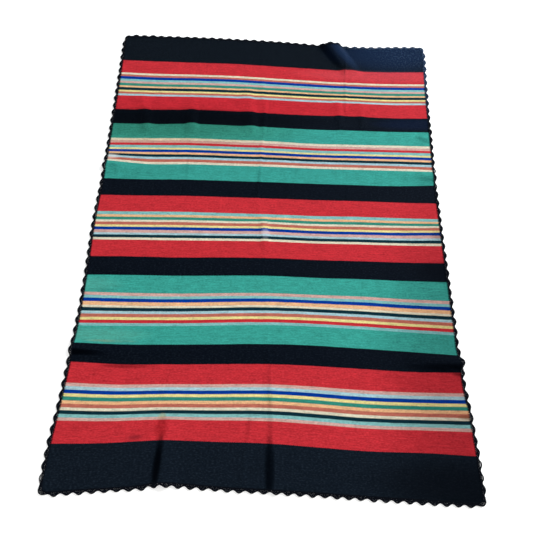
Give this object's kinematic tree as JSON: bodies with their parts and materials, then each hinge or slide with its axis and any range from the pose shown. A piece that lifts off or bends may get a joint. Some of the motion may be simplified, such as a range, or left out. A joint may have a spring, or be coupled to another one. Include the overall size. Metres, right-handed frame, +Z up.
{
  "type": "serape laid flat",
  "caption": "Striped wool serape spread out flat on a floor, with soft folds and a crocheted loop edging on all four sides.",
  "frame": {"origin": "on the floor under the middle of the cloth's footprint", "axes": "+Z up from the floor, +Y along the cloth's length away from its near end, +X along its stripes"},
  "size_m": [1.257, 1.6839, 0.0216],
  "materials": {
    "woven_wool": "matte, weft-faced weave with a light nap, in bands of black, red and green with groups of narrow stripes",
    "crochet_yarn": "matte blue-black twisted yarn"
  },
  "bodies": {
    "root": {"woven_panel": "woven_wool", "edging_near": "crochet_yarn", "edging_right": "crochet_yarn", "edging_far": "crochet_yarn", "edging_left": "crochet_yarn"}
  },
  "joints": []
}
